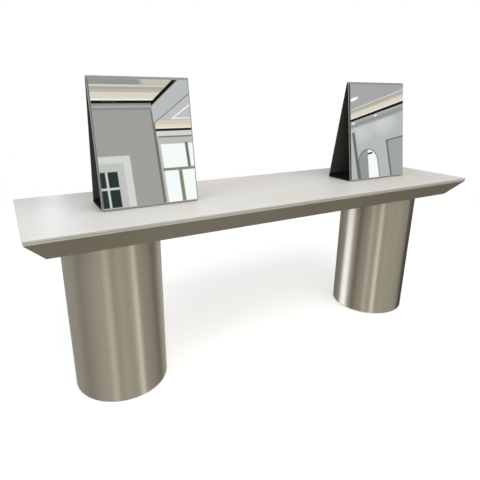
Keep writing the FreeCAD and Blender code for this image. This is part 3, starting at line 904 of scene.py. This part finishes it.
def make_world():
    """Plain soft light, with a plain grey room for metal and glass to show."""
    world = bpy.data.worlds.new("studio")
    bpy.context.scene.world = world
    root = bare_root(world)
    way = root.add("ShaderNodeTexCoord", output="Generated")
    across, along, up = way.part("X"), way.part("Y"), way.part("Z")
    bearing = across.math("ARCTAN2", across, 0.0 - along) * (180 / math.pi)
    ahead, front_up = across / abs(along), up / abs(along)
    beside, side_up = abs(along / across), up / abs(across)
    to_side = abs(ahead).math("GREATER_THAN", abs(ahead), SIDE_START)
    level = (side_up / SIDE_HEIGHT) * to_side + (front_up / FRONT_HEIGHT) * (1 - to_side)
    room = to_side.blend(WALL, SIDE_WALL)
    for start, colour in COVE:
        room = level.rises(start - COVE_BLUR, start + COVE_BLUR).blend(room, colour)
    front = front_wall(room, ahead + FRONT_SHIFT, front_up, level)
    room = to_side.blend(front, side_wall(room, beside, side_up, level))
    daylight = window_light(bearing, level)
    room = room.add("ShaderNodeVectorMath", {0: room, 1: daylight}, {"operation": "ADD"})
    room = up.rises(*HORIZON).blend(ground_light(bearing), room)
    seen, glossy = lit_for_view(root)
    shown = glossy.blend(WHITE, room)
    fill = up.rises(*FILL_CHANGE).blend(FILL_BELOW, FILL_ABOVE)
    back = root.add("ShaderNodeBackground", {"Color": shown})
    soft = root.add("ShaderNodeBackground", {"Color": fill})
    root.add("ShaderNodeOutputWorld", {"Surface": seen.mixed(soft, back)})


# ---- panels, lamps and camera --------------------------------------------------------

# Upright panels round the station: the place on the floor, the width, the foot and the
# head, and the colour.
PANELS = {
    "rear_panel": ((-0.72, 1.13), 0.86, (-2.4, 0.45), (2.5, 2.56, 2.9)),
    "front_panel": ((0.05, -1.33), 0.26, (-2.4, 0.45), (1.93, 1.84, 1.74)),
    "left_panel": ((-1.81, -1.874), 0.56, (-2.4, 0.45), (1.12, 1.05, 0.92)),
    "right_board": ((1.30, -0.11), 0.46, (-2.4, 0.68), (0.11, 0.105, 0.10)),
    "sheen_panel": ((-0.865, 1.30), 0.15, (0.85, 2.0), (2.3, 2.45, 3.0)),
}
# Lamps: the place, the point that each is turned to, the size, the power and the colour.
LAMPS = {
    "overhead": ((0.1, -1.8, 3.0), (0.1, 0, 0.8), (3.4, 1.6), 51, (1.0, 0.97, 0.88)),
    "window": ((-2.6, -0.9, 1.7), (-1.1, 0, 0.79), (1.0, 0.9), 19, (0.74, 0.86, 1.0)),
}
CAMERA_PLACE = Vector((-1.1107, -1.6392, 1.2191))
CAMERA_AHEAD = Vector((0.45925, 0.83223, -0.31063)).normalized()
CAMERA_ROLL = 0.0059
CAMERA_SENSOR, CAMERA_LENS = 36.0, 30.88
CAMERA_SHIFT = (0.019, -0.0227)
CAMERA_REACH = (0.05, 200.0)


def make_panel(name, place, width, levels, colour):
    """An upright panel beside the station that shows only as a reflection in it."""
    low, high = levels
    shape = bmesh.new()
    bmesh.ops.create_grid(shape, x_segments=1, y_segments=1, size=0.5)
    bmesh.ops.scale(shape, vec=(width, high - low, 1), verts=shape.verts)
    turn = Vector((*place, 0)).to_track_quat("Z", "Y").to_matrix()
    bmesh.ops.rotate(shape, cent=(0, 0, 0), matrix=turn, verts=shape.verts)
    bmesh.ops.translate(shape, vec=(*place, (low + high) / 2), verts=shape.verts)
    panel, root = studio_object(name, shape)
    root.add("ShaderNodeOutputMaterial", {"Surface": glowing(root, colour)})
    panel.visible_camera = False
    panel.visible_diffuse = False
    panel.visible_transmission = False
    panel.visible_shadow = False


def make_lamp(name, place, target, size, power, colour):
    """A flat lamp that lights the station and doesn't show in its metal or glass."""
    lamp = bpy.data.lights.new(name, "AREA")
    lamp.shape = "RECTANGLE"
    lamp.size, lamp.size_y = size
    lamp.energy = power
    lamp.color = colour
    holder = bpy.data.objects.new(name, lamp)
    bpy.context.scene.collection.objects.link(holder)
    holder.location = place
    away = Vector(place) - Vector(target)
    holder.rotation_euler = away.to_track_quat("Z", "Y").to_euler()
    holder.visible_glossy = False


def make_camera():
    """Eye height, standing off the left end, with a wide lens."""
    level = CAMERA_AHEAD.cross(Vector((0, 0, 1))).normalized()
    upright = level.cross(CAMERA_AHEAD)
    right = level * math.cos(CAMERA_ROLL) + upright * math.sin(CAMERA_ROLL)
    above = right.cross(CAMERA_AHEAD)
    camera = bpy.data.cameras.new("camera")
    camera.sensor_width, camera.lens = CAMERA_SENSOR, CAMERA_LENS
    camera.shift_x, camera.shift_y = CAMERA_SHIFT
    camera.clip_start, camera.clip_end = CAMERA_REACH
    holder = bpy.data.objects.new("camera", camera)
    bpy.context.scene.collection.objects.link(holder)
    turned = Matrix((right, above, -CAMERA_AHEAD)).transposed().to_4x4()
    holder.matrix_world = Matrix.Translation(CAMERA_PLACE) @ turned
    bpy.context.scene.camera = holder


# ---- the scene -----------------------------------------------------------------------

finish_nodes()
make_slab()
for side, outward in SIDES.items():
    make_strip(side, outward)
for leg in LEGS:
    make_drum(leg)
for unit in UNITS:
    make_stand(unit)
    for face in ("front", "rear"):
        make_pane(unit, face)

make_floor()
make_world()
for name, settings in PANELS.items():
    make_panel(name, *settings)
for name, settings in LAMPS.items():
    make_lamp(name, *settings)
make_camera()
bpy.context.scene.view_settings.view_transform = "Standard"
